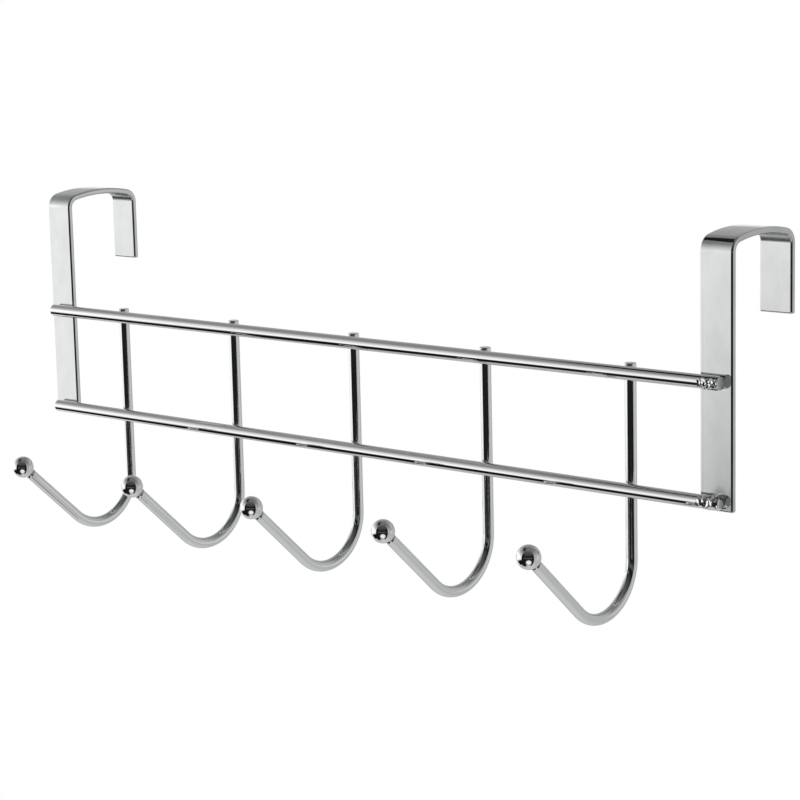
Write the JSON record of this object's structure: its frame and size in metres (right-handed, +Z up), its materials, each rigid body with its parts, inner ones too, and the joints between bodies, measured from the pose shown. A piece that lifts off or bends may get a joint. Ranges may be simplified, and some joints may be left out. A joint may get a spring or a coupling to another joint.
{
  "type": "over door hook",
  "caption": "Over-the-door hook rack of chromed steel: flat straps bent over the door top carry round rails and forward J hooks tipped with balls.",
  "frame": {"origin": "the top front edge of the door, midway between the straps: on the plane of the straps' door faces, level with the shoulders of the bridges", "axes": "+X along the rails to the right as seen from the front, +Y back through the door, +Z up"},
  "size_m": [0.416, 0.118, 0.164],
  "materials": {
    "strap_chrome": "bright chrome plate on flat strip, faintly clouded",
    "rail_chrome": "bright chrome plate on round rod",
    "hook_chrome": "bright chrome plate on bent wire",
    "ball_chrome": "bright chrome plate on a ball"
  },
  "bodies": {
    "root": {"strap_left": "strap_chrome", "strap_right": "strap_chrome", "rail_upper": "rail_chrome", "rail_lower": "rail_chrome", "hook_wire_1": "hook_chrome", "hook_wire_2": "hook_chrome", "hook_wire_3": "hook_chrome", "hook_wire_4": "hook_chrome", "hook_wire_5": "hook_chrome", "ball_1": "ball_chrome", "ball_2": "ball_chrome", "ball_3": "ball_chrome", "ball_4": "ball_chrome", "ball_5": "ball_chrome"}
  },
  "joints": []
}
